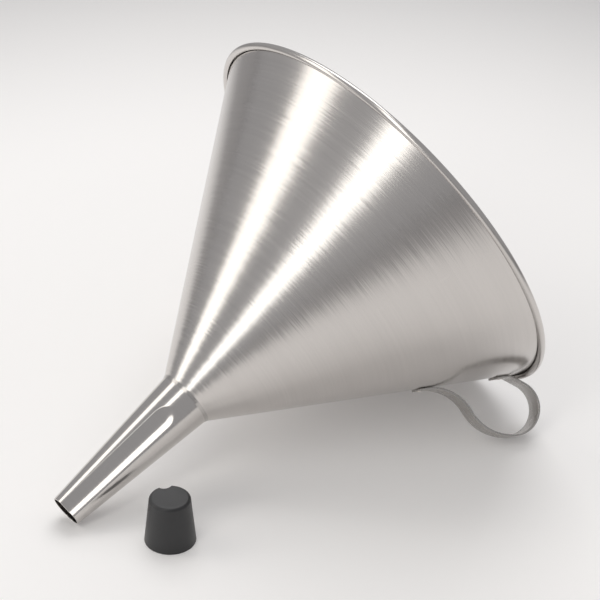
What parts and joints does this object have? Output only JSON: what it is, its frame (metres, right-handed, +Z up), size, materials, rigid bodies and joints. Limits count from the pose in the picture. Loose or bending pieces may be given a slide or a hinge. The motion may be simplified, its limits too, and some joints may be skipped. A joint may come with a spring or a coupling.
{
  "type": "kitchen funnel",
  "caption": "Conical sheet-metal funnel with a tapered vented spout and a strap finger loop, lying on its side beside the slip-on cap that closes its spout.",
  "frame": {"origin": "on the table under the middle of the whole footprint of funnel and cap", "axes": "+Z up from the table; the funnel's axis is in the XZ plane, spout towards -X and mouth towards +X, the mouth end raised by 25.3 degrees; the handle's side faces -Y"},
  "size_m": [0.224, 0.2, 0.1811],
  "materials": {
    "bowl_steel": "fine circular brushing round the axis",
    "spout_steel": "polished, with faint marks along its length",
    "weld_steel": "dressed weld",
    "strap_steel": "brushed along the strap",
    "cap_rubber": "matte black"
  },
  "bodies": {
    "funnel": {"bowl": "bowl_steel", "spout": "spout_steel", "neck_weld": "weld_steel", "handle_strap": "strap_steel", "lower_spot_weld": "weld_steel", "upper_spot_weld": "weld_steel"},
    "cap": {"spout_cap": "cap_rubber"}
  },
  "joints": [
    {"name": "cap_lift", "type": "slide", "parent": "funnel", "child": "cap", "axis": [0, 0, 1], "range_m": [0, 0.06]}
  ]
}
